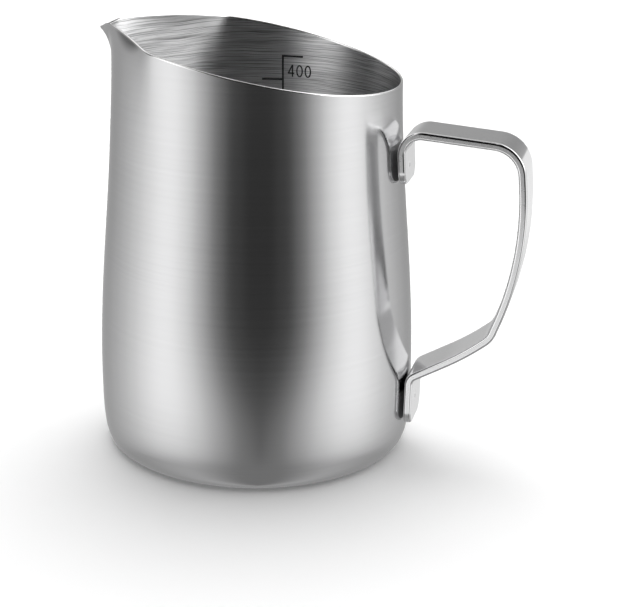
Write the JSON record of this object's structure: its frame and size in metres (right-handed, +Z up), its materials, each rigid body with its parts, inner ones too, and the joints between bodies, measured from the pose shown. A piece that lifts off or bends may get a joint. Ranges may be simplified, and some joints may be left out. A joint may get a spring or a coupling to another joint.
{
  "type": "milk frothing pitcher",
  "caption": "Steel milk frothing pitcher with a slanted rim, a pressed V spout and a bent strap handle spot-welded to the wall.",
  "frame": {"origin": "on the body's axis, in the plane that the pitcher stands on", "axes": "+Z up along the body's axis, +X towards the handle, -X towards the spout, XZ the plane of symmetry"},
  "size_m": [0.1103, 0.081, 0.1074],
  "materials": {
    "body_steel": "fine circumferential satin brushing outside, coarser turning lines inside, polished rim",
    "handle_steel": "polished, with softly rounded edges and light handling scratches",
    "weld": "heat-tinted spot weld",
    "etched_mark": "dark laser-etched measuring mark"
  },
  "bodies": {
    "root": {"pitcher_body": "body_steel", "handle": "handle_steel", "upper_weld": "weld", "lower_weld": "weld"}
  },
  "joints": []
}
